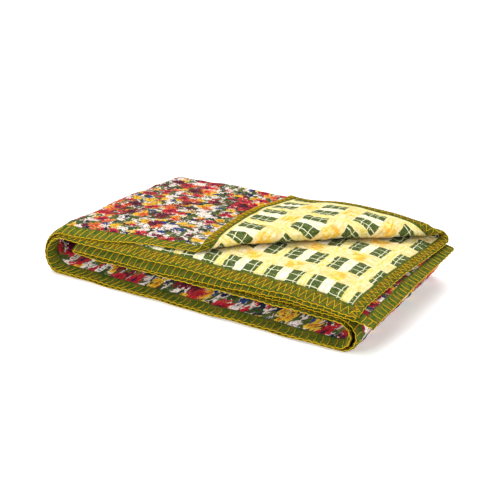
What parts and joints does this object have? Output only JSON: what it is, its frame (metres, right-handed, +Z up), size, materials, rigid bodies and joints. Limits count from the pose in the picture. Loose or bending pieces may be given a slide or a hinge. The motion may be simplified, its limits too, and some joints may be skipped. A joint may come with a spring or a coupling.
{
  "type": "folded baby quilt",
  "caption": "Small cotton quilt with a floral face, a check back and a green edging, folded into a flat soft stack with one corner of the top layer turned back",
  "frame": {"origin": "the bottom centre of the folded quilt's box, on the surface it lies on", "axes": "+Z up; +X along the stack's length to the right, towards the free short ends; +Y from the layered front edge to the closed back"},
  "size_m": [0.5382, 0.2974, 0.1048],
  "materials": {
    "floral_cotton": "matte",
    "check_cotton": "matte",
    "green_binding": "matte"
  },
  "bodies": {
    "root": {"floral_panel": "floral_cotton", "check_panel": "check_cotton", "binding_long_outer": "green_binding", "binding_long_inner": "green_binding", "binding_end_top": "green_binding", "binding_end_inner": "green_binding"}
  },
  "joints": []
}
